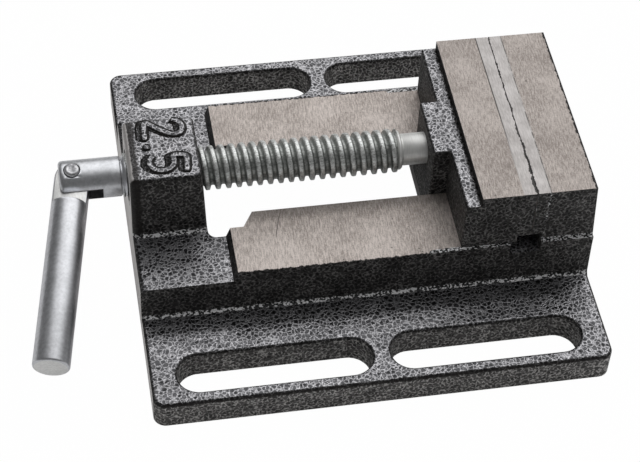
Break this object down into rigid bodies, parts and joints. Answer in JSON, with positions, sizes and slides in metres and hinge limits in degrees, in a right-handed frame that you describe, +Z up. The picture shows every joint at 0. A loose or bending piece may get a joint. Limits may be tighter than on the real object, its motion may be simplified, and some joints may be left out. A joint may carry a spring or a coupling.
{
  "type": "parallel jaw vise",
  "caption": "Low cast vise for a drilling table: slotted flanges, ground ways, a fixed and a sliding jaw with steel plates, and a lead screw with a folding handle.",
  "frame": {"origin": "middle of the underside, midway between the four bolt slots", "axes": "+X along the lead screw towards the fixed jaw, +Y to the back, +Z up from the table"},
  "size_m": [0.1598, 0.129, 0.0429],
  "materials": {
    "hammered_paint": "glossy hammer paint in dark grey and silver over cast iron, ground bare on the ways and tops",
    "jaw_steel": "ground",
    "screw_steel": "turned, lightly oiled",
    "handle_zinc": "satin zinc plate",
    "keeper_steel": "plain rolled steel",
    "fastener_black": "black oxide"
  },
  "bodies": {
    "base": {"base_casting": "hammered_paint", "fixed_jaw_plate": "jaw_steel", "fixed_plate_screw_front": "fastener_black", "fixed_plate_screw_back": "fastener_black"},
    "moving_jaw": {"moving_jaw": "hammered_paint", "moving_jaw_plate": "jaw_steel", "moving_plate_screw_front": "fastener_black", "moving_plate_screw_back": "fastener_black", "keeper_plate": "keeper_steel", "keeper_screw_inner": "fastener_black", "keeper_screw_outer": "fastener_black", "keeper_washer_inner": "fastener_black", "keeper_washer_outer": "fastener_black", "retaining_pin_front": "fastener_black", "retaining_pin_back": "fastener_black"},
    "lead_screw": {"lead_screw": "screw_steel", "handle_pin": "handle_zinc"},
    "handle": {"handle_bar": "handle_zinc"}
  },
  "joints": [
    {"name": "jaw_slide", "type": "slide", "parent": "base", "child": "moving_jaw", "axis": [-1, 0, 0], "range_m": [0, 0.06]},
    {"name": "screw_turn", "type": "hinge", "parent": "moving_jaw", "child": "lead_screw", "pos_m": [0, 0, 0.0318], "axis": [-1, 0, 0], "range_deg": [0, 7200]},
    {"name": "handle_swing", "type": "hinge", "parent": "lead_screw", "child": "handle", "pos_m": [-0.0796, 0, 0.0318], "axis": [0, 0.2079, -0.9781], "range_deg": [-10.8, 169.2]}
  ],
  "couplings": [
    {"joint": "jaw_slide", "follows": "screw_turn", "m_per_rad": 0.00047746}
  ]
}
